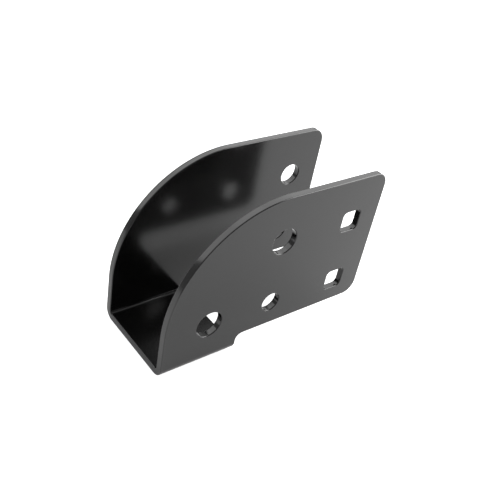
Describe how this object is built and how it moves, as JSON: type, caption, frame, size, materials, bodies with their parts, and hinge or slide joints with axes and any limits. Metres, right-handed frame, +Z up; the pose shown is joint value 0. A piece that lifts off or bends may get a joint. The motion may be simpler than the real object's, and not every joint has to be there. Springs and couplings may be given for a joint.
{
  "type": "handle bracket",
  "caption": "Folded steel U bracket that a tube handle pivots in and is pinned upright or lying forward, with rear holes for bolting it to a frame member.",
  "frame": {"origin": "on the underside of the web's plane, below the pivot axis and half-way across the gap, which is the bottom centre of the bounding box", "axes": "+X from the front arc towards the rear bolt holes, along the bracket's length; +Y across the gap, from the cheek with lock holes to the cheek with round bolt holes; +Z up from the web"},
  "size_m": [0.1, 0.042, 0.07],
  "materials": {
    "black_coat": "satin black powder coat on steel sheet"
  },
  "bodies": {
    "root": {"bracket": "black_coat"}
  },
  "joints": []
}
